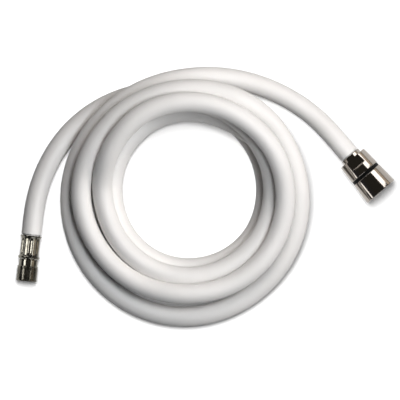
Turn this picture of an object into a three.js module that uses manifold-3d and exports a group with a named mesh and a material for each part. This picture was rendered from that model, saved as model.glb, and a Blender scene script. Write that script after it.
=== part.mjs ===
// A flexible plastic water hose, lying coiled on a flat surface, with a metal fitting at each end.
// One end has a crimped ferrule on a nipple with a fine outside thread. The other has a tapered
// coupling whose front ring is a nut that turns freely. Millimetres, +Z up, origin under the middle
// of the whole, on the surface that it lies on.
import * as THREE from 'three';
import { mergeVertices } from 'three/addons/utils/BufferGeometryUtils.js';
import Module from 'manifold-3d';

const wasm = await Module();
wasm.setup();

// Hose
const hoseDiameter = 14;
const hoseBore = 9;
const hoseSides = 12;
const squeezedDiameter = 11.3; // where a fitting's sleeve is crimped onto the hose
const endOverlap = 2; // how far each squeezed end reaches back into the full hose

// What every fitting shares
const seatGap = 0.3; // left between pieces that touch
const turnedFaces = 48;
const tailDiameter = 8.4; // the barbed tails that go into the hose
const tailBore = 6;
const barbDepth = 0.5;
const barbPitch = 2.6;
const barbSlope = 0.8; // share of the pitch that the slope takes
const edgeBreak = 0.3; // small chamfer on a turned edge
const cutterSize = 40; // larger than any piece that it cuts

// Ferrule at the threaded end, lengths counted from its mouth
const ferrulePlace = { x: -108.4, y: -29.1, bearing: -96.4 };
const ferruleLength = 16.5;
const ferruleWall = 0.8;
const ferruleDiameter = squeezedDiameter + 2 * (seatGap + ferruleWall);
const mouthFlare = 0.75; // how far the mouth stands out
const mouthLength = 1.7;
const mouthRound = 0.4;
const mouthFlat = 0.6; // share of the mouth's length before it falls back to the wall
const beadRise = 0.8; // how far the bead stands out
const beadLength = 2.4;
const beadRound = 0.6;
const beadEase = 0.2;
const lipLength = 0.9; // the closed end, which hooks behind the nipple's neck
const dentCount = 8;
const dentDepth = 0.4;
const dentRadius = 2.2;
const dentRings = 6;
const dentFaces = 16;
const dentStart = 2.2;
const dentEnd = 13.4;

// Nipple in that ferrule
const stemDiameter = 10;
const neckDiameter = 13.3;
const neckLength = 4.6;
const threadDiameter = 15;
const threadLength = 10.9;
const threadChamfer = 0.6;
const threadBore = 9.6;
const boreStep = 1; // length of the cone between the two bores
const threadFlats = 13.5; // across its two wrench flats
const leftTailInset = 1.5; // from the ferrule's mouth to the tail's tip

// Coupling at the other end, lengths counted from its rear face
const couplingPlace = { x: 116.4, y: 25.1, bearing: -49.4 };
const couplingLength = 30.8;
const rearDiameter = 21.1;
const frontDiameter = 25;
const bodyLength = 13.1;
const grooveWidth = 2.3;
const grooveDepth = 0.4;
const edgeChamfer = 0.5;
const bodyFlats = 19; // across its two wrench flats
const bodyFlatLength = 6.6;
const bodyWebLength = 2.5; // the inner wall that holds the tail's shank

// Sleeve between the hose and the coupling
const collarWall = 1.55;
const collarDiameter = squeezedDiameter + 2 * (seatGap + collarWall);
const collarShows = 2.6; // how far it stands out of the coupling's rear
const collarChamfer = 0.4;

// Swivelling nut and what it closes on
const shankDiameter = 12;
const nutLipLength = 3;
const socketDiameter = 18.8;
const flangeLength = 2;
const washerLength = 2;
const washerBore = 11;
const rightTailInset = 1.2; // from the collar's rear to the tail's tip

// Surfaces
const hosePlastic = new THREE.MeshStandardMaterial({ color: 0xeeeae6, roughness: 0.38, metalness: 0 });
const chrome = new THREE.MeshStandardMaterial({ color: 0xcfcdc8, roughness: 0.12, metalness: 1 });
const blackPlastic = new THREE.MeshStandardMaterial({ color: 0x131211, roughness: 0.5, metalness: 0 });
const rubber = new THREE.MeshStandardMaterial({ color: 0x262523, roughness: 0.8, metalness: 0 });

// The way the hose lies: bearing in degrees about the coil's middle, counted on through the turns,
// then how far out and how high the hose's middle is. The turns share their bearings.
const lay = [
  [30, 105.5, 8], [60, 90, 7.5], [90, 81, 17], [120, 78.3, 22.5], [150, 79, 18.5],
  [180, 81, 8.5], [210, 83.5, 7], [240, 85.5, 7], [270, 85.8, 7], [300, 84, 7],
  [330, 81.7, 13], [360, 79.4, 21.5], [390, 77.7, 29.5], [420, 76, 42.5], [450, 73, 41],
  [480, 72.2, 37], [510, 72.5, 31], [540, 73.5, 21.5], [570, 72, 20.5], [600, 71, 22.5],
  [630, 70, 28.5], [660, 70.5, 28], [690, 70.5, 30.5], [720, 69.5, 37.5], [750, 67.8, 49],
  [780, 65.4, 52], [810, 64.2, 52.5], [840, 63.3, 49], [870, 60.8, 39.5], [900, 58.3, 22],
  [930, 57, 20.5], [960, 57.3, 20], [990, 58, 20.5], [1020, 58.6, 20.5], [1050, 59.8, 20.5],
  [1080, 61, 24], [1110, 62, 35.5], [1140, 63.5, 35], [1170, 64.5, 30], [1200, 64.4, 20.5],
  [1230, 67.7, 9.5], [1260, 66, 8.5], [1290, 65, 7.5], [1320, 65.5, 7], [1350, 66, 7],
  [1380, 67.5, 7], [1410, 69, 7], [1440, 70, 11], [1470, 64.5, 21.5], [1500, 59, 21.5],
  [1530, 57.7, 16.5], [1560, 55.8, 7.5], [1590, 53.5, 7], [1620, 51.5, 7], [1650, 50.8, 7],
  [1680, 51.2, 7], [1710, 51.8, 7], [1740, 53.3, 7], [1770, 55, 7], [1800, 56, 7],
  [1830, 58, 7], [1860, 61, 7], [1890, 69.5, 7], [1920, 79, 7], [1950, 91, 7],
  [1980, 104, 7],
];
const straightEnd = 14; // the hose is straight for this far behind each fitting

const radians = THREE.MathUtils.degToRad;

// Solids in and out of the boolean library
function solidFrom(geometry) {
  const bare = geometry.clone();
  bare.deleteAttribute('normal');
  bare.deleteAttribute('uv');
  const merged = mergeVertices(bare, 1e-4);
  return new wasm.Manifold(new wasm.Mesh({
    numProp: 3,
    vertProperties: new Float32Array(merged.attributes.position.array),
    triVerts: new Uint32Array(merged.index.array),
  }));
}

function geometryFrom(solid) {
  const mesh = solid.getMesh();
  const geometry = new THREE.BufferGeometry();
  geometry.setAttribute('position', new THREE.BufferAttribute(mesh.vertProperties, 3));
  geometry.setIndex(new THREE.BufferAttribute(mesh.triVerts, 1));
  geometry.computeVertexNormals();
  return geometry;
}

function without(geometry, cutters) {
  let solid = solidFrom(geometry);
  for (const cutter of cutters) solid = solid.subtract(solidFrom(cutter));
  return geometryFrom(solid);
}

// A piece turned on a lathe, from [radius, length along the axis] points going up its outside
// and, where it has a bore, back down the inside. The axis is local +Y.
function turned(outline) {
  const points = outline.map(([radius, along]) => new THREE.Vector2(radius, along));
  points.push(points[0].clone());
  return new THREE.LatheGeometry(points, turnedFaces);
}

function piece(name, geometry, material) {
  const mesh = new THREE.Mesh(geometry, material);
  mesh.name = name;
  return mesh;
}

// A fitting's group: local +Y runs along it, away from the hose, and local +Z stays up
function fittingGroup(place, height) {
  const group = new THREE.Group();
  group.position.set(place.x, place.y, height);
  group.rotation.z = radians(place.bearing - 90);
  return group;
}

function pointOn(place, height, along) {
  const direction = radians(place.bearing);
  return new THREE.Vector3(
    place.x + along * Math.cos(direction), place.y + along * Math.sin(direction), height);
}

// The outside of a barbed tail: saw teeth that point back along the hose
function barbs(from, to) {
  const points = [];
  const outer = tailDiameter / 2;
  for (let along = from; along + barbPitch <= to; along += barbPitch) {
    points.push([outer - barbDepth, along], [outer, along + barbPitch * barbSlope]);
  }
  return points;
}

// Two flats across a round piece, cut from above and below
function flatCutters(acrossFlats, from, to) {
  const cutters = [];
  for (const side of [-1, 1]) {
    const cutter = new THREE.BoxGeometry(cutterSize, to - from, cutterSize);
    cutter.translate(0, (from + to) / 2, side * (acrossFlats + cutterSize) / 2);
    cutters.push(cutter);
  }
  return cutters;
}

// Heights that follow from what rests on the surface
const ferruleHeight = ferruleDiameter / 2 + beadRise;
const couplingHeight = frontDiameter / 2;

// The hose, with an end squeezed into each fitting
class HoseRoute extends THREE.CatmullRomCurve3 {
  // Rings fall on the points given, so neighbouring turns have their facets side by side
  getUtoTmapping(u) {
    return u;
  }
}

function hoseRoute() {
  const behindCollar = -collarShows - seatGap;
  const start = [behindCollar, behindCollar - straightEnd];
  const end = [-seatGap - straightEnd, -seatGap];
  const points = start.map((along) => pointOn(couplingPlace, couplingHeight, along));
  for (const [bearing, radius, height] of lay) {
    const angle = radians(bearing);
    points.push(new THREE.Vector3(radius * Math.cos(angle), radius * Math.sin(angle), height));
  }
  for (const along of end) points.push(pointOn(ferrulePlace, ferruleHeight, along));
  return new HoseRoute(points);
}

function squeezedEnd(place, height, from, to) {
  const outer = squeezedDiameter / 2;
  const inner = hoseBore / 2;
  const sleeve = turned([[outer, from], [outer, to], [inner, to], [inner, from]]);
  sleeve.rotateZ(radians(place.bearing - 90));
  sleeve.translate(place.x, place.y, height);
  return sleeve;
}

function hose() {
  const route = hoseRoute();
  const section = new THREE.Shape().absarc(0, 0, hoseDiameter / 2, 0, 2 * Math.PI);
  section.holes.push(new THREE.Path().absarc(0, 0, hoseBore / 2, 0, 2 * Math.PI));
  const tube = new THREE.ExtrudeGeometry(section, {
    steps: route.points.length - 1,
    curveSegments: hoseSides / 2,
    extrudePath: route,
  });
  const collarBottom = bodyLength - bodyWebLength - 2 * seatGap;
  const ferruleBottom = ferruleLength - lipLength - seatGap;
  const ends = [
    squeezedEnd(couplingPlace, couplingHeight, -collarShows - seatGap - endOverlap, collarBottom),
    squeezedEnd(ferrulePlace, ferruleHeight, -seatGap - endOverlap, ferruleBottom),
  ];
  let solid = solidFrom(tube);
  for (const end of ends) solid = solid.add(solidFrom(end));
  return piece('hose', geometryFrom(solid), hosePlastic);
}

// Threaded end
function crimpFerrule() {
  const outer = ferruleDiameter / 2;
  const inner = outer - ferruleWall;
  const bead = outer + beadRise;
  const mouth = outer + mouthFlare;
  const lipBore = stemDiameter / 2 + seatGap;
  const beadStart = ferruleLength - beadLength;
  const shell = turned([
    [mouth - edgeBreak, 0], [mouth, mouthRound], [mouth, mouthLength * mouthFlat], [outer, mouthLength],
    [outer, beadStart], [bead - beadEase, beadStart + beadRound], [bead, beadStart + beadLength / 2],
    [bead - beadEase, ferruleLength - beadRound], [outer, ferruleLength],
    [lipBore, ferruleLength], [lipBore, ferruleLength - lipLength],
    [inner, ferruleLength - lipLength], [inner, 0],
  ]);
  const straight = dentEnd - dentStart - 2 * dentRadius;
  const dents = [];
  for (let k = 0; k < dentCount; k += 1) {
    const dent = new THREE.CapsuleGeometry(dentRadius, straight, dentRings, dentFaces);
    dent.translate(0, (dentStart + dentEnd) / 2, outer - dentDepth + dentRadius);
    dent.rotateY((2 * Math.PI * k) / dentCount);
    dents.push(dent);
  }
  return piece('crimp_ferrule', without(shell, dents), chrome);
}

function threadedNipple() {
  const neckStart = ferruleLength + seatGap;
  const threadStart = neckStart + neckLength;
  const end = threadStart + threadLength;
  const stem = stemDiameter / 2;
  const neck = neckDiameter / 2;
  const thread = threadDiameter / 2;
  const stemStart = ferruleLength - lipLength;
  const turnedPart = turned([
    ...barbs(leftTailInset, stemStart), [tailDiameter / 2, stemStart], [stem, stemStart],
    [stem, neckStart], [neck - edgeBreak, neckStart], [neck, neckStart + edgeBreak],
    [neck, threadStart], [thread - threadChamfer, threadStart], [thread, threadStart + threadChamfer],
    [thread, end - threadChamfer], [thread - threadChamfer, end],
    [threadBore / 2 + edgeBreak, end], [threadBore / 2, end - edgeBreak],
    [threadBore / 2, threadStart], [tailBore / 2, threadStart - boreStep], [tailBore / 2, leftTailInset],
  ]);
  const flats = flatCutters(threadFlats, threadStart, end + edgeBreak);
  return piece('threaded_nipple', without(turnedPart, flats), chrome);
}

function threadedEnd() {
  const group = fittingGroup(ferrulePlace, ferruleHeight);
  group.add(crimpFerrule(), threadedNipple());
  return group;
}

// Swivel coupling
function taperRadius(along) {
  return (rearDiameter + (frontDiameter - rearDiameter) * (along / couplingLength)) / 2;
}

const nutStart = bodyLength + grooveWidth;
const flangeStart = nutStart + nutLipLength + seatGap;

function crimpCollar() {
  const outer = collarDiameter / 2;
  const inner = squeezedDiameter / 2 + seatGap;
  const end = bodyLength - bodyWebLength - seatGap;
  const sleeve = turned([
    [outer - collarChamfer, -collarShows], [outer, -collarShows + collarChamfer],
    [outer, end], [inner, end], [inner, -collarShows],
  ]);
  return piece('crimp_collar', sleeve, chrome);
}

function couplingBody() {
  const sleeveBore = collarDiameter / 2 + seatGap;
  const shankBore = shankDiameter / 2 + seatGap;
  const web = bodyLength - bodyWebLength;
  const shell = turned([
    [taperRadius(0) - edgeChamfer, 0], [taperRadius(edgeChamfer), edgeChamfer],
    [taperRadius(bodyLength), bodyLength], [shankBore, bodyLength],
    [shankBore, web], [sleeveBore, web], [sleeveBore, 0],
  ]);
  const flats = flatCutters(bodyFlats, -edgeBreak, bodyFlatLength);
  return piece('coupling_body', without(shell, flats), chrome);
}

function bearingRing() {
  const from = bodyLength + seatGap;
  const to = nutStart - seatGap;
  const inner = shankDiameter / 2 + seatGap;
  const ring = turned([
    [taperRadius(from) - grooveDepth, from], [taperRadius(to) - grooveDepth, to], [inner, to], [inner, from],
  ]);
  return piece('bearing_ring', ring, blackPlastic);
}

function swivelNut() {
  const lipBore = shankDiameter / 2 + seatGap;
  const socket = socketDiameter / 2;
  const lipEnd = nutStart + nutLipLength;
  const shell = turned([
    [taperRadius(nutStart), nutStart],
    [taperRadius(couplingLength - edgeChamfer), couplingLength - edgeChamfer],
    [taperRadius(couplingLength) - edgeChamfer, couplingLength],
    [socket + edgeChamfer, couplingLength], [socket, couplingLength - edgeChamfer],
    [socket, lipEnd], [lipBore, lipEnd], [lipBore, nutStart],
  ]);
  return piece('swivel_nut', shell, chrome);
}

function hoseTail() {
  const tip = rightTailInset - collarShows;
  const shoulder = bodyLength - bodyWebLength;
  const shank = shankDiameter / 2;
  const flange = socketDiameter / 2 - seatGap;
  const end = flangeStart + flangeLength;
  const tail = turned([
    ...barbs(tip, shoulder), [tailDiameter / 2, shoulder], [shank, shoulder],
    [shank, flangeStart], [flange, flangeStart], [flange, end], [tailBore / 2, end], [tailBore / 2, tip],
  ]);
  return piece('hose_tail', tail, chrome);
}

function sealingWasher() {
  const from = flangeStart + flangeLength + seatGap;
  const outer = socketDiameter / 2 - seatGap;
  const ring = turned([
    [outer, from], [outer, from + washerLength],
    [washerBore / 2, from + washerLength], [washerBore / 2, from],
  ]);
  return piece('sealing_washer', ring, rubber);
}

function swivelCoupling() {
  const group = fittingGroup(couplingPlace, couplingHeight);
  group.add(crimpCollar(), couplingBody(), bearingRing(), swivelNut(), hoseTail(), sealingWasher());
  return group;
}

// The whole, set down with the origin under its middle
const assembly = new THREE.Group();
assembly.add(hose(), threadedEnd(), swivelCoupling());
const bounds = new THREE.Box3().setFromObject(assembly, true);
const middle = bounds.getCenter(new THREE.Vector3());
assembly.position.set(-middle.x, -middle.y, -bounds.min.z);

const model = new THREE.Group();
model.add(assembly);

export default model;
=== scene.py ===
"""A flexible shower hose that lies coiled, with a fitting at each end.

The scene is in metres, in the frame's axes. Sizes and places in this file are in millimetres, but
those of the floor, the camera and the lamps are in metres.
"""
import math

import bmesh
import bpy
import numpy as np
from mathutils import Matrix, Vector


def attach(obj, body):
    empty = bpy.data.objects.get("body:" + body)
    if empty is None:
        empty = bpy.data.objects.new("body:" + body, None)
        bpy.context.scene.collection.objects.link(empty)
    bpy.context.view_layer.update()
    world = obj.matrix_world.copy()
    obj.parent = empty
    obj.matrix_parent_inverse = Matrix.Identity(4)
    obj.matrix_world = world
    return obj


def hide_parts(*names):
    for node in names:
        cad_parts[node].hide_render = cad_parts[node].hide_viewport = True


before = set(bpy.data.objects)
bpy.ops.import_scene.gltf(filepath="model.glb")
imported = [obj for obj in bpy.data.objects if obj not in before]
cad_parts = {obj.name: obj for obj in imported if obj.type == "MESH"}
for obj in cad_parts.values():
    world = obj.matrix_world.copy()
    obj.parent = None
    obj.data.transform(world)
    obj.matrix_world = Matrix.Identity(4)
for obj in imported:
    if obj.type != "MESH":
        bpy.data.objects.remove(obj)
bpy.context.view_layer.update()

MM = 0.001

# Where the coil's middle lies in the frame
SHIFT = np.array([-13.0992, 2.4136, 0.0])

# Left between pieces that touch
SEAT_GAP = 0.3

# Hose
HOSE_DIAMETER = 14
HOSE_BORE = 9
SQUEEZED_DIAMETER = 11.3  # inside the fittings
SHOULDER = 0.9  # length over which each end is squeezed in
SHOULDER_RINGS = 6
RING_STEP = 2.2
HOSE_SIDES = 40
STRAIGHT_END = 14  # this far behind each fitting, the hose is still on its axis
ROUTE_STEPS = 12000
LEVEL_REACH = 10  # heights are evened out over this far, each way

# Fittings: the place of each one's first face, its bearing and its axis height
FERRULE = {"x": -108.4, "y": -29.1, "bearing": -96.4, "height": 7.55}
COUPLING = {"x": 116.4, "y": 25.1, "bearing": -49.4, "height": 12.5}

# Where the full hose ends behind each fitting, and where its squeezed end runs on inside
COUPLING_MOUTH = -2.9
FERRULE_MOUTH = -0.3
INSIDE_COUPLING = (9.9, 4, -2.7)
INSIDE_FERRULE = (-0.1, 8, 15.2)

# Coupling, lengths counted from its rear face
COUPLING_LENGTH = 30.8
REAR_DIAMETER = 21.1
FRONT_DIAMETER = 25
BODY_LENGTH = 13.1
BODY_WEB = 2.5
BODY_FLATS = 19
BODY_FLAT_LENGTH = 6.6
FLAT_RAMP = 0.9  # length over which a flat rises back to the round, by up to FLAT_RISE
FLAT_RISE = 1.6
GROOVE_WIDTH = 2.3
GROOVE_DEPTH = 0.4
RING_CLEAR = 0.05  # left on each side of the black ring
SHANK_DIAMETER = 12
NUT_LIP = 3
SOCKET_DIAMETER = 18.8
EDGE_ROUND = 0.5
COLLAR_DIAMETER = 15
COLLAR_SHOWS = 2.6
WASHER_START = 20.9
WASHER_LENGTH = 2
WASHER_BORE = 11

# Ferrule, lengths counted from its mouth
FERRULE_LENGTH = 16.5
FERRULE_WALL = 0.8
LIP_LENGTH = 0.9
BEAD_LENGTH = 2.4

# How far the mouth and the bead stand out from the wall, and how far along each of them
MOUTH_OUTLINE = [(0.45, 0.0), (0.67, 0.15), (0.75, 0.45), (0.67, 0.9), (0.35, 1.35), (0.07, 1.8)]
BEAD_OUTLINE = [(0.1, 0.05), (0.45, 0.35), (0.75, 0.85), (0.8, 1.2), (0.75, 1.6), (0.5, 2.1),
                (0.2, BEAD_LENGTH)]

# Dents round the ferrule
DENT_COUNT = 8
DENT_DEPTH = 0.55
DENT_POWER = 1.3  # how softly a dent's rim runs out
DENT_HALF_WIDTH = 1.5
DENT_START = 3.7
DENT_END = 12.2

# Nipple
STEM_RADIUS = 5.0
NECK_RADIUS = 6.65
NECK_LENGTH = 4.6
NECK_CHAMFER = 0.35
TAIL_BORE_RADIUS = 3.0
THREAD_BORE_RADIUS = 4.8
THREAD_RADIUS = 7.5
THREAD_LENGTH = 10.9
THREAD_FLATS = 14.4
THREAD_PITCH = 1.0
THREAD_DEPTH = 0.55
THREAD_CREST = 0.35  # share of the pitch that the crest takes
THREAD_SLOPES = 0.45  # share that its two slopes take
THREAD_RUN_IN = 0.8
THREAD_RUN_OUT = 1.0
CHAMFER_DEPTH = 0.5
CHAMFER_AT_START = 0.5
CHAMFER_AT_END = 0.7
ROWS_OF_THREAD = 110

# Bearing about the coil's middle, how far out and how high the hose's middle is
LAY = [
    (30, 105.5, 8), (60, 90, 7.5), (90, 81, 17), (120, 78.3, 22.5), (150, 79, 18.5),
    (180, 81, 8.5), (210, 83.5, 7), (240, 85.5, 7), (270, 85.8, 7), (300, 84, 7),
    (330, 81.7, 13), (360, 79.4, 21.5), (390, 77.7, 29.5), (420, 76, 42.5), (450, 73, 41),
    (480, 72.2, 37), (510, 72.5, 31), (540, 73.5, 21.5), (570, 72, 20.5), (600, 71, 22.5),
    (630, 70, 28.5), (660, 70.5, 28), (690, 70.5, 30.5), (720, 69.5, 37.5), (750, 67.8, 49),
    (780, 65.4, 52), (810, 64.2, 52.5), (840, 63.3, 49), (870, 60.8, 39.5), (900, 58.3, 22),
    (930, 57, 20.5), (960, 57.3, 20), (990, 58, 20.5), (1020, 58.6, 20.5), (1050, 59.8, 20.5),
    (1080, 61, 24), (1110, 62, 35.5), (1140, 63.5, 35), (1170, 64.5, 30), (1200, 64.4, 20.5),
    (1230, 67.7, 9.5), (1260, 66, 8.5), (1290, 65, 7.5), (1320, 65.5, 7), (1350, 66, 7),
    (1380, 67.5, 7), (1410, 69, 7), (1440, 70, 11), (1470, 64.5, 21.5), (1500, 59, 21.5),
    (1530, 57.7, 16.5), (1560, 55.8, 7.5), (1590, 53.5, 7), (1620, 51.5, 7), (1650, 50.8, 7),
    (1680, 51.2, 7), (1710, 51.8, 7), (1740, 53.3, 7), (1770, 55, 7), (1800, 56, 7),
    (1830, 58, 7), (1860, 61, 7), (1890, 69.5, 7), (1920, 79, 7), (1950, 91, 7),
    (1980, 104, 7),
]

# Camera, straight above and far away. Its picture is VIEW_WIDTH across at VIEW_HEIGHT
CAMERA_PLACE = (-0.0033, -0.00179, 9.0)
VIEW_HEIGHT = 0.015
VIEW_WIDTH = 0.280
SENSOR = 36

# Floor: half its width, then its grey where it lights the object, in mirrors and to the camera, then
# its glow in mirrors and to the camera
FLOOR_HALF = 3.0
FLOOR_ON_OBJECT = 0.10
FLOOR_IN_MIRRORS = 0.72
FLOOR_TO_CAMERA = 0.95
GLOW_IN_MIRRORS = 0.10
GLOW_TO_CAMERA = 0.12

# Colours of the lamps
WARM = (1.0, 0.935, 0.885)
PLAIN = (1.0, 1.0, 1.0)
COOL = (0.93, 0.965, 1.0)
TAN = (1.0, 0.86, 0.70)

# What each lamp lights, its bearing and elevation, its distance and size, its watts and colour
LAMPS = {
    "hose_right": ("hose", 0, 30, 1.5, (0.6, 0.5), 6.6, WARM),
    "hose_high": ("hose", 8, 70, 1.5, (0.7, 0.7), 14.6, COOL),
    "hose_back": ("hose", 70, 45, 1.5, (0.6, 0.6), 7.8, WARM),
    "metal_front": ("metal", 292, 36, 1.5, (1.3, 0.7), 4.5, COOL),
    "metal_back": ("metal", 118, 34, 1.5, (1.0, 0.6), 3.0, PLAIN),
    "coupling_key": ("coupling", 50, 38, 1.5, (0.55, 0.80), 4.2, PLAIN),
    "coupling_right": ("coupling", 44, 13, 1.5, (0.55, 0.5), 0.62, TAN),
    "coupling_left": ("coupling", 221, 20, 1.5, (0.5, 0.26), 0.9, PLAIN),
    "ferrule_left": ("ferrule", 174, 44, 1.5, (0.3, 0.5), 2.9, PLAIN),
    "ferrule_right": ("ferrule", 354, 28, 1.5, (0.5, 1.0), 1.4, TAN),
    "ferrule_edge": ("ferrule", 354, 55, 1.5, (0.3, 0.2), 1.0, PLAIN),
    "ferrule_high": ("ferrule", 84, 80, 1.5, (0.9, 0.5), 0.45, PLAIN),
    "floor_light": ("floor", 104, 79.5, 1.8, (0.7, 0.7), 40, PLAIN),
}

# The world's colour by how high one looks, from 0 at the horizon to 1 straight up
SKY = [(0.14, (0.035, 0.038, 0.045)), (0.36, (0.03, 0.033, 0.04)), (0.9, (0.032, 0.030, 0.026))]


def make_camera():
    data = bpy.data.cameras.new("camera")
    camera = bpy.data.objects.new("camera", data)
    bpy.context.scene.collection.objects.link(camera)
    data.sensor_width = SENSOR
    data.lens = SENSOR * (CAMERA_PLACE[2] - VIEW_HEIGHT) / VIEW_WIDTH
    data.clip_start = 0.1
    data.clip_end = 50
    camera.location = CAMERA_PLACE
    camera.rotation_euler = (0, 0, 0)
    bpy.context.scene.camera = camera


# Places

def axis_frame(place):
    """Local +Y along the fitting, away from the hose, and local +Z up."""
    turn = Matrix.Rotation(math.radians(place["bearing"] - 90), 4, "Z")
    origin = (Vector((place["x"], place["y"], place["height"])) + Vector(SHIFT)) * MM
    return Matrix.Translation(origin) @ turn


def along_axis(place, distance):
    """A point on the fitting's axis, counted from its first face."""
    angle = math.radians(place["bearing"])
    x = place["x"] + distance * math.cos(angle)
    y = place["y"] + distance * math.sin(angle)
    return np.array([x, y, place["height"]]) + SHIFT


def travelled(points):
    """How far along a line each of its points lies."""
    steps = np.linalg.norm(np.diff(points, axis=0), axis=1)
    return np.concatenate([[0], np.cumsum(steps)])


# Meshes

def add_mesh(name, verts, faces, uvs=None, sharp=35):
    mesh = bpy.data.meshes.new(name)
    mesh.from_pydata([tuple(v) for v in verts], [], faces)
    mesh.update()
    if uvs is not None:
        layer = mesh.uv_layers.new(name="UVMap")
        layer.data.foreach_set("uv", np.asarray(uvs, dtype=np.float32).ravel())
    mesh.shade_smooth()
    mesh.set_sharp_from_angle(angle=math.radians(sharp))
    obj = bpy.data.objects.new(name, mesh)
    bpy.context.scene.collection.objects.link(obj)
    return obj


def turn_faces_out(obj):
    work = bmesh.new()
    work.from_mesh(obj.data)
    bmesh.ops.recalc_face_normals(work, faces=work.faces)
    work.to_mesh(obj.data)
    work.free()


def rounded(points, radius, steps=4):
    """An outline with each corner given a round edge of that radius, at most."""
    points = [np.array(p, dtype=float) for p in points]
    made = []
    count = len(points)
    for k in range(count):
        here, before, after = points[k], points[k - 1], points[(k + 1) % count]
        to_before, to_after = before - here, after - here
        long_before, long_after = np.linalg.norm(to_before), np.linalg.norm(to_after)
        cut = min(radius, long_before * 0.45, long_after * 0.45)
        start = here + to_before / long_before * cut
        end = here + to_after / long_after * cut
        for step in range(steps + 1):
            t = step / steps
            made.append((1 - t) ** 2 * start + 2 * t * (1 - t) * here + t * t * end)
    return made


def lathe(name, outline, place, segments, shape=None):
    """Turned from [radius, along] points, counted on round the outline. shape may move a point."""
    verts, faces = [], []
    rows = len(outline)
    for radius, along in outline:
        for j in range(segments):
            angle = 2 * math.pi * j / segments
            point = (radius * math.sin(angle), along, radius * math.cos(angle))
            if shape:
                point = shape(point, radius, angle, along)
            verts.append(tuple(c * MM for c in point))
    for i in range(rows):
        m = (i + 1) % rows
        for j in range(segments):
            n = (j + 1) % segments
            faces.append([i * segments + j, i * segments + n, m * segments + n, m * segments + j])
    obj = add_mesh(name, verts, faces)
    turn_faces_out(obj)
    obj.matrix_world = axis_frame(place)
    return obj


# Hose

def hose_knots():
    """The route's points: straight out of the coupling, round the coil, straight into the ferrule."""
    knots = [along_axis(COUPLING, COUPLING_MOUTH), along_axis(COUPLING, COUPLING_MOUTH - STRAIGHT_END)]
    for bearing, radius, height in LAY:
        angle = math.radians(bearing)
        knots.append(np.array([radius * math.cos(angle), radius * math.sin(angle), height]) + SHIFT)
    knots += [along_axis(FERRULE, FERRULE_MOUTH - STRAIGHT_END), along_axis(FERRULE, FERRULE_MOUTH)]
    return np.array(knots)


def even_bend(knots, at, fine):
    """A curve that bends evenly through the knots, and leaves and enters along the fittings."""
    spans = np.diff(at)
    count = len(knots)
    system = np.zeros((count, count))
    right = np.zeros((count, 3))
    first = along_axis(COUPLING, -1) - along_axis(COUPLING, 0)
    last = along_axis(FERRULE, 1) - along_axis(FERRULE, 0)
    system[0, 0], system[0, 1] = 2 * spans[0], spans[0]
    right[0] = 6 * ((knots[1] - knots[0]) / spans[0] - first)
    for k in range(1, count - 1):
        before, after = spans[k - 1], spans[k]
        system[k, k - 1], system[k, k], system[k, k + 1] = before, 2 * (before + after), after
        right[k] = 6 * ((knots[k + 1] - knots[k]) / after - (knots[k] - knots[k - 1]) / before)
    system[-1, -2], system[-1, -1] = spans[-1], 2 * spans[-1]
    right[-1] = 6 * (last - (knots[-1] - knots[-2]) / spans[-1])
    bend = np.linalg.solve(system, right)
    k = np.clip(np.searchsorted(at, fine, side="right") - 1, 0, count - 2)
    a, b, h = (at[k + 1] - fine)[:, None], (fine - at[k])[:, None], spans[k][:, None]
    curve = (bend[k] * a ** 3 + bend[k + 1] * b ** 3) / (6 * h)
    curve += (knots[k] / h - bend[k] * h / 6) * a + (knots[k + 1] / h - bend[k + 1] * h / 6) * b
    return curve


def steady_heights(at, heights, fine):
    """Heights that never swing past the ones given, then evened out over a short way."""
    spans = np.diff(at)
    rises = np.diff(heights) / spans
    slopes = np.zeros(len(heights))
    for k in range(1, len(heights) - 1):
        if rises[k - 1] * rises[k] > 0:
            w1 = 2 * spans[k] + spans[k - 1]
            w2 = spans[k] + 2 * spans[k - 1]
            slopes[k] = (w1 + w2) / (w1 / rises[k - 1] + w2 / rises[k])
    k = np.clip(np.searchsorted(at, fine, side="right") - 1, 0, len(spans) - 1)
    t = (fine - at[k]) / spans[k]
    made = heights[k] * (2 * t ** 3 - 3 * t ** 2 + 1) + heights[k + 1] * (3 * t ** 2 - 2 * t ** 3)
    made += spans[k] * (slopes[k] * (t ** 3 - 2 * t ** 2 + t) + slopes[k + 1] * (t ** 3 - t ** 2))
    reach = int(LEVEL_REACH / (fine[1] - fine[0]))
    padded = np.concatenate([np.full(reach, made[0]), made, np.full(reach, made[-1])])
    return np.convolve(padded, np.ones(2 * reach + 1) / (2 * reach + 1), mode="valid")


def smooth_route():
    """The hose's middle line between its fittings."""
    knots = hose_knots()
    at = travelled(knots)
    fine = np.linspace(0, at[-1], ROUTE_STEPS)
    curve = even_bend(knots, at, fine)
    curve[:, 2] = steady_heights(at, knots[:, 2], fine)
    return curve


def hose_rings():
    """The middle and the outer radius of each ring, from end to end."""
    curve = smooth_route()
    run = travelled(curve)
    total = run[-1]
    turn_in = np.linspace(0, SHOULDER, SHOULDER_RINGS + 1)[:-1]
    body = np.linspace(SHOULDER, total - SHOULDER, int(total / RING_STEP))
    runs = np.concatenate([turn_in, body, total - turn_in[::-1]])
    middles = np.stack([np.interp(runs, run, curve[:, axis]) for axis in range(3)], axis=1)
    full, squeezed = HOSE_DIAMETER / 2, SQUEEZED_DIAMETER / 2
    from_end = np.minimum(np.minimum(runs, total - runs) / SHOULDER, 1)
    radii = squeezed + (full - squeezed) * np.sqrt(1 - (1 - from_end) ** 2)
    in_coupling = np.array([along_axis(COUPLING, d) for d in INSIDE_COUPLING])
    in_ferrule = np.array([along_axis(FERRULE, d) for d in INSIDE_FERRULE])
    middles = np.concatenate([in_coupling, middles, in_ferrule])
    radii = np.pad(radii, (len(in_coupling), len(in_ferrule)), constant_values=squeezed)
    return middles, radii


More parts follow.
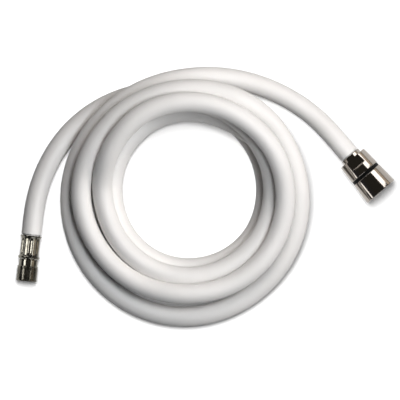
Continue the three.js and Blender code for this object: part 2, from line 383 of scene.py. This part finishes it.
def hose():
    """One closed tube with its bore, and the line that it follows, in metres."""
    middles, radii = hose_rings()
    travel = travelled(middles)
    forward = np.gradient(middles, travel, axis=0)
    forward /= np.linalg.norm(forward, axis=1)[:, None]
    side = np.cross(np.array([0, 0, 1.0]), forward)
    side /= np.linalg.norm(side, axis=1)[:, None]
    top = np.cross(forward, side)
    rings, sides = len(middles), HOSE_SIDES
    verts, faces, uvs = [], [], []
    for ring_radii in (radii, np.full(rings, HOSE_BORE / 2)):
        for k in range(rings):
            for j in range(sides):
                angle = 2 * math.pi * j / sides
                spoke = math.cos(angle) * top[k] + math.sin(angle) * side[k]
                verts.append((middles[k] + spoke * ring_radii[k]) * MM)

    def vertex(wall, k, j):
        return (wall * rings + k) * sides + j % sides

    outside, bore = 0, 1
    for wall in (outside, bore):
        for k in range(rings - 1):
            for j in range(sides):
                corners = [(k, j), (k, j + 1), (k + 1, j + 1), (k + 1, j)]
                if wall == bore:
                    corners.reverse()
                faces.append([vertex(wall, *corner) for corner in corners])
                uvs.extend((travel[ring] * MM, place / sides) for ring, place in corners)
    for k in (0, rings - 1):
        for j in range(sides):
            quad = [vertex(outside, k, j), vertex(bore, k, j), vertex(bore, k, j + 1),
                    vertex(outside, k, j + 1)]
            if k > 0:
                quad.reverse()
            faces.append(quad)
            uvs.extend([(0, 0)] * 4)
    return add_mesh("shower_hose", verts, faces, uvs), middles * MM


# Coupling

def taper(along):
    """The coupling's radius at a place on its axis."""
    return (REAR_DIAMETER + (FRONT_DIAMETER - REAR_DIAMETER) * along / COUPLING_LENGTH) / 2


def coupling_body():
    """The rear ring, tapered, with two wrench flats that end in a short ramp."""
    sleeve = COLLAR_DIAMETER / 2 + SEAT_GAP
    shank = SHANK_DIAMETER / 2 + SEAT_GAP
    web = BODY_LENGTH - BODY_WEB
    corners = [(taper(0), 0), (taper(BODY_LENGTH), BODY_LENGTH), (shank, BODY_LENGTH), (shank, web),
               (sleeve, web), (sleeve, 0)]
    ramp_rows = [BODY_FLAT_LENGTH + FLAT_RAMP * k / 8 for k in range(9)]
    rows = [np.array([taper(a), a]) for a in [2.0, 4.0] + ramp_rows + [9.0]]
    outline = rounded(corners, EDGE_ROUND)
    # The rows that the flats need come after the rear edge, which has five points
    outline = outline[:5] + rows + outline[5:]

    def flattened(point, radius, angle, along):
        x, y, z = point
        if along <= BODY_FLAT_LENGTH + FLAT_RAMP:
            ramp = max(0, along - BODY_FLAT_LENGTH) / FLAT_RAMP
            reach = BODY_FLATS / 2 + FLAT_RISE * ramp * ramp
            z = max(-reach, min(reach, z))
        return x, y, z

    return lathe("coupling_rear", outline, COUPLING, 240, flattened)


def swivel_nut():
    """The front ring, whose inner lip turns between the black ring and the tail's flange."""
    shank, socket = SHANK_DIAMETER / 2 + SEAT_GAP, SOCKET_DIAMETER / 2
    start = BODY_LENGTH + GROOVE_WIDTH
    lip_end = start + NUT_LIP
    corners = [(taper(start), start), (taper(COUPLING_LENGTH), COUPLING_LENGTH),
               (socket, COUPLING_LENGTH), (socket, lip_end), (shank, lip_end), (shank, start)]
    return lathe("coupling_front", rounded(corners, EDGE_ROUND), COUPLING, 160)


def bearing_ring():
    """The black ring in the groove, sunk a little under the metal on each side."""
    shank = SHANK_DIAMETER / 2 + SEAT_GAP
    start, end = BODY_LENGTH + RING_CLEAR, BODY_LENGTH + GROOVE_WIDTH - RING_CLEAR
    corners = [(taper(start) - GROOVE_DEPTH, start), (taper(end) - GROOVE_DEPTH, end),
               (shank, end), (shank, start)]
    return lathe("black_ring", rounded(corners, 0.15), COUPLING, 128)


def crimp_collar():
    outer, inner = COLLAR_DIAMETER / 2, SQUEEZED_DIAMETER / 2 + SEAT_GAP
    end = BODY_LENGTH - BODY_WEB - SEAT_GAP
    corners = [(outer, -COLLAR_SHOWS), (outer, end), (inner, end), (inner, -COLLAR_SHOWS)]
    return lathe("hose_collar", rounded(corners, 0.4), COUPLING, 128)


def sealing_washer():
    outer, inner = SOCKET_DIAMETER / 2 - SEAT_GAP, WASHER_BORE / 2
    end = WASHER_START + WASHER_LENGTH
    corners = [(outer, WASHER_START), (outer, end), (inner, end), (inner, WASHER_START)]
    return lathe("flat_washer", rounded(corners, 0.25), COUPLING, 96)


# Threaded end

def crimp_ferrule():
    """A thin sleeve with a flared mouth, long dents round it, and a bead at its closed end."""
    inner = SQUEEZED_DIAMETER / 2 + SEAT_GAP
    wall = inner + FERRULE_WALL
    hole = STEM_RADIUS + SEAT_GAP
    lip = FERRULE_LENGTH - LIP_LENGTH
    bead_start = FERRULE_LENGTH - BEAD_LENGTH
    outline = [(wall + out, along) for out, along in MOUTH_OUTLINE]
    # Rows close enough together for the dents
    outline += [(wall, along) for along in np.linspace(2.2, bead_start - 0.2, 40)]
    outline += [(wall + out, bead_start + along) for out, along in BEAD_OUTLINE]
    outline += [(hole, FERRULE_LENGTH), (hole, lip), (inner, lip), (inner, 0.3), (inner + 0.35, 0.05)]

    def dented(point, radius, angle, along):
        x, y, z = point
        gap = 2 * math.pi / DENT_COUNT
        across = ((angle + gap / 2) % gap - gap / 2) * radius
        beyond = max(DENT_START - along, along - DENT_END, 0)
        distance = math.hypot(across, beyond) / DENT_HALF_WIDTH
        if distance >= 1:
            return point
        sink = DENT_DEPTH * (1 - distance * distance) ** DENT_POWER
        scale = (radius - sink) / radius
        return x * scale, y, z * scale

    return lathe("crimped_ferrule", outline, FERRULE, 320, dented)


def threaded_nipple():
    """Stem, neck and outside thread, with a bore right through that widens in the thread."""
    tail = FERRULE_LENGTH - LIP_LENGTH
    start = FERRULE_LENGTH + SEAT_GAP
    thread_start = start + NECK_LENGTH
    end = thread_start + THREAD_LENGTH
    outline = [(STEM_RADIUS, tail), (STEM_RADIUS, start), (NECK_RADIUS - NECK_CHAMFER, start),
               (NECK_RADIUS, start + NECK_CHAMFER), (NECK_RADIUS, start + 2),
               (NECK_RADIUS, thread_start - 0.05), (THREAD_RADIUS - 0.7, thread_start)]
    # Rows close enough together for the thread's helix
    outline += [(THREAD_RADIUS, along)
                for along in np.linspace(thread_start + 0.05, end - 0.05, ROWS_OF_THREAD)]
    outline += [(THREAD_RADIUS - 0.9, end), (THREAD_BORE_RADIUS + 0.2, end),
                (THREAD_BORE_RADIUS, end - 0.3), (THREAD_BORE_RADIUS, thread_start),
                (TAIL_BORE_RADIUS, thread_start - 1), (TAIL_BORE_RADIUS, tail)]

    def threaded(point, radius, angle, along):
        x, y, z = point
        if radius == THREAD_RADIUS:
            phase = (along / THREAD_PITCH - angle / (2 * math.pi)) % 1
            from_crest = 1 - abs(2 * phase - 1) - THREAD_CREST
            groove = THREAD_DEPTH * min(1, max(0, from_crest / THREAD_SLOPES))
            from_start, from_end = along - thread_start, end - along
            ease = min(1, from_start / THREAD_RUN_IN, from_end / THREAD_RUN_OUT)
            cut = groove * max(0, ease)
            cut += CHAMFER_DEPTH * max(0, 1 - from_end / CHAMFER_AT_END)
            cut += CHAMFER_DEPTH * max(0, 1 - from_start / CHAMFER_AT_START)
            scale = (radius - cut) / radius
            x, z = x * scale, z * scale
        if along >= thread_start:
            z = max(-THREAD_FLATS / 2, min(THREAD_FLATS / 2, z))
        return x, y, z

    return lathe("threaded_end", outline, FERRULE, 144, threaded)


# Materials

def material(name):
    made = bpy.data.materials.new(name)
    made.use_nodes = True
    tree = made.node_tree
    return made, tree, tree.nodes["Principled BSDF"]


def add_node(tree, kind, **values):
    node = tree.nodes.new(kind)
    for key, value in values.items():
        if key in node.inputs:
            node.inputs[key].default_value = value
        else:
            setattr(node, key, value)
    return node


def noise(tree, vector, scale, detail, roughness):
    node = add_node(tree, "ShaderNodeTexNoise", Scale=scale, Detail=detail, Roughness=roughness)
    tree.links.new(vector, node.inputs["Vector"])
    return node.outputs["Fac"]


def stretched(tree, vector, scale):
    node = add_node(tree, "ShaderNodeMapping", Scale=scale)
    tree.links.new(vector, node.inputs["Vector"])
    return node.outputs["Vector"]


def colour_ramp(tree, factor, stops):
    """Colours by a value from 0 to 1. Each stop is a place and a colour."""
    node = add_node(tree, "ShaderNodeValToRGB")
    elements = node.color_ramp.elements
    while len(elements) < len(stops):
        elements.new(0.5)
    for element, (place, colour) in zip(elements, stops):
        element.position = place
        element.color = (*colour, 1)
    tree.links.new(factor, node.inputs["Fac"])
    return node.outputs["Color"]


def uneven_gloss(tree, shader, factor, seen, wanted):
    """Roughness that follows a noise: the values seen in it become the values wanted."""
    node = add_node(tree, "ShaderNodeMapRange")
    node.inputs["From Min"].default_value, node.inputs["From Max"].default_value = seen
    node.inputs["To Min"].default_value, node.inputs["To Max"].default_value = wanted
    tree.links.new(factor, node.inputs["Value"])
    tree.links.new(node.outputs["Result"], shader.inputs["Roughness"])


def fine_bump(tree, shader, height, strength, distance):
    node = add_node(tree, "ShaderNodeBump", Strength=strength, Distance=distance)
    tree.links.new(height, node.inputs["Height"])
    tree.links.new(node.outputs["Normal"], shader.inputs["Normal"])


def hose_plastic():
    """Satin plastic, slightly cloudy, with faint lines along the hose."""
    made, tree, shader = material("satin_white_plastic")
    shader.inputs["IOR"].default_value = 1.5
    place = add_node(tree, "ShaderNodeTexCoord")
    cloud = noise(tree, place.outputs["Object"], 38.0, 3.0, 0.5)
    colour = colour_ramp(tree, cloud, [(0.3, (0.80, 0.785, 0.765)), (0.7, (0.845, 0.825, 0.805))])
    tree.links.new(colour, shader.inputs["Base Color"])
    lines = noise(tree, stretched(tree, place.outputs["UV"], (14, 60, 1)), 1.0, 2.0, 0.6)
    uneven_gloss(tree, shader, lines, (0.3, 0.7), (0.42, 0.54))
    fine_bump(tree, shader, lines, 0.06, 0.0004)
    return made


def metal(name, colour, dark, roughness):
    """Plated metal, a little uneven in tone, with fine turning lines round the axis."""
    made, tree, shader = material(name)
    shader.inputs["Metallic"].default_value = 1.0
    place = add_node(tree, "ShaderNodeTexCoord")
    cloud = noise(tree, place.outputs["Object"], 420.0, 4.0, 0.6)
    tint = colour_ramp(tree, cloud, [(0.32, dark), (0.62, colour)])
    tree.links.new(tint, shader.inputs["Base Color"])
    lines = noise(tree, stretched(tree, place.outputs["Object"], (60, 5200, 60)), 1.0, 2.0, 0.7)
    uneven_gloss(tree, shader, lines, (0.25, 0.75), (roughness * 0.75, roughness * 1.35))
    fine_bump(tree, shader, lines, 0.05, 0.00005)
    return made


def dull(name, colour, light, roughness, shine, scale):
    """Matt plastic or rubber with a fine grain."""
    made, tree, shader = material(name)
    place = add_node(tree, "ShaderNodeTexCoord")
    grain = noise(tree, place.outputs["Object"], scale, 4.0, 0.6)
    tint = colour_ramp(tree, grain, [(0.0, colour), (1.0, light)])
    tree.links.new(tint, shader.inputs["Base Color"])
    shader.inputs["Roughness"].default_value = roughness
    shader.inputs["Specular IOR Level"].default_value = shine
    fine_bump(tree, shader, grain, 0.2, 0.0001)
    return made


def grey(value):
    return value, value, value, 1


def white_floor():
    """White to the camera and in mirrors. It throws little light back up at the object."""
    made, tree, shader = material("white_floor")
    link = tree.links.new
    path = add_node(tree, "ShaderNodeLightPath")
    camera_ray = path.outputs["Is Camera Ray"]
    mirrored = add_node(tree, "ShaderNodeMath", operation="MAXIMUM")
    link(path.outputs["Is Glossy Ray"], mirrored.inputs[0])
    link(path.outputs["Is Transmission Ray"], mirrored.inputs[1])
    # A mix of colours takes them in inputs 6 and 7, and gives the result in output 2
    unseen = add_node(tree, "ShaderNodeMix", data_type="RGBA")
    unseen.inputs[6].default_value = grey(FLOOR_ON_OBJECT)
    unseen.inputs[7].default_value = grey(FLOOR_IN_MIRRORS)
    link(mirrored.outputs[0], unseen.inputs[0])
    tint = add_node(tree, "ShaderNodeMix", data_type="RGBA")
    tint.inputs[7].default_value = grey(FLOOR_TO_CAMERA)
    link(camera_ray, tint.inputs[0])
    link(unseen.outputs[2], tint.inputs[6])
    link(tint.outputs[2], shader.inputs["Base Color"])
    shader.inputs["Roughness"].default_value = 1.0
    shader.inputs["Specular IOR Level"].default_value = 0.0
    shader.inputs["Emission Color"].default_value = grey(1)
    glow = add_node(tree, "ShaderNodeMath", operation="MULTIPLY_ADD")
    glow.inputs[1].default_value = GLOW_IN_MIRRORS
    link(mirrored.outputs[0], glow.inputs[0])
    camera_glow = add_node(tree, "ShaderNodeMath", operation="MULTIPLY")
    camera_glow.inputs[1].default_value = GLOW_TO_CAMERA
    link(camera_ray, camera_glow.inputs[0])
    link(camera_glow.outputs[0], glow.inputs[2])
    link(glow.outputs[0], shader.inputs["Emission Strength"])
    return made


# Floor and light

def floor():
    half = FLOOR_HALF
    verts = [(-half, -half, 0), (half, -half, 0), (half, half, 0), (-half, half, 0)]
    obj = add_mesh("floor", verts, [[0, 1, 2, 3]])
    obj.data.materials.append(white_floor())
    return obj


def area_light(name, lit, bearing, elevation, distance, size, watts, colour):
    """A soft box. It lights only what the collection holds, and everything blocks it."""
    data = bpy.data.lights.new(name, "AREA")
    data.shape = "RECTANGLE"
    data.size, data.size_y = size
    data.energy = watts
    data.color = colour
    obj = bpy.data.objects.new(name, data)
    flat, rise = math.radians(bearing), math.radians(elevation)
    way = Vector((math.cos(flat) * math.cos(rise), math.sin(flat) * math.cos(rise), math.sin(rise)))
    obj.location = way * distance
    obj.rotation_euler = (-way).to_track_quat("-Z", "Y").to_euler()
    bpy.context.scene.collection.objects.link(obj)
    obj.light_linking.receiver_collection = lit


def group(name, objects):
    made = bpy.data.collections.new(name)
    for obj in objects:
        made.objects.link(obj)
    return made


def lights(groups):
    for name, (lit, *settings) in LAMPS.items():
        area_light(name, groups[lit], *settings)
    world = bpy.data.worlds.new("studio")
    bpy.context.scene.world = world
    world.use_nodes = True
    tree = world.node_tree
    place = add_node(tree, "ShaderNodeTexCoord")
    split = add_node(tree, "ShaderNodeSeparateXYZ")
    tree.links.new(place.outputs["Generated"], split.inputs[0])
    sky = colour_ramp(tree, split.outputs["Z"], SKY)
    tree.links.new(sky, tree.nodes["Background"].inputs["Color"])


# Assembly

bpy.context.scene.view_settings.view_transform = "Standard"
make_camera()

tube, route = hose()
tube.data.materials.append(hose_plastic())

bright = metal("bright_chrome", (0.44, 0.40, 0.36), (0.395, 0.355, 0.315), 0.09)
nickel = metal("dull_nickel", (0.25, 0.235, 0.20), (0.155, 0.145, 0.115), 0.16)
black = dull("black_plastic", (0.004, 0.004, 0.004), (0.009, 0.009, 0.008), 0.6, 0.2, 900)
rubber = dull("washer_rubber", (0.018, 0.017, 0.016), (0.032, 0.03, 0.028), 0.75, 0.5, 1200)

ferrule = crimp_ferrule()
nipple = threaded_nipple()
collar = crimp_collar()
rear = coupling_body()
ring = bearing_ring()
nut = swivel_nut()
washer = sealing_washer()

dressing = [
    (ferrule, "crimp_ferrule", nickel, "chrome", "hose_side"),
    (nipple, "threaded_nipple", nickel, "chrome", "hose_side"),
    (collar, "crimp_collar", bright, "chrome", "hose_side"),
    (rear, "coupling_body", bright, "chrome", "hose_side"),
    (ring, "bearing_ring", black, "black_plastic", "hose_side"),
    (nut, "swivel_nut", bright, "chrome", "nut"),
    (washer, "sealing_washer", rubber, "rubber", "nut"),
]
for obj, node, surface, slot, body in dressing:
    obj.data.materials.append(surface)
    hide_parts(node)
    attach(obj, body)
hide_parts("hose")
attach(tube, "hose_side")
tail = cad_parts["hose_tail"]
for slot in tail.material_slots:
    slot.material = bright

ground = floor()
threaded_end = [ferrule, nipple]
coupling = [collar, rear, ring, nut, washer, tail]
lights({
    "hose": group("lit_hose", [tube]),
    "metal": group("lit_metal", threaded_end + coupling),
    "coupling": group("lit_coupling", coupling),
    "ferrule": group("lit_ferrule", threaded_end),
    "floor": group("lit_floor", [ground]),
})
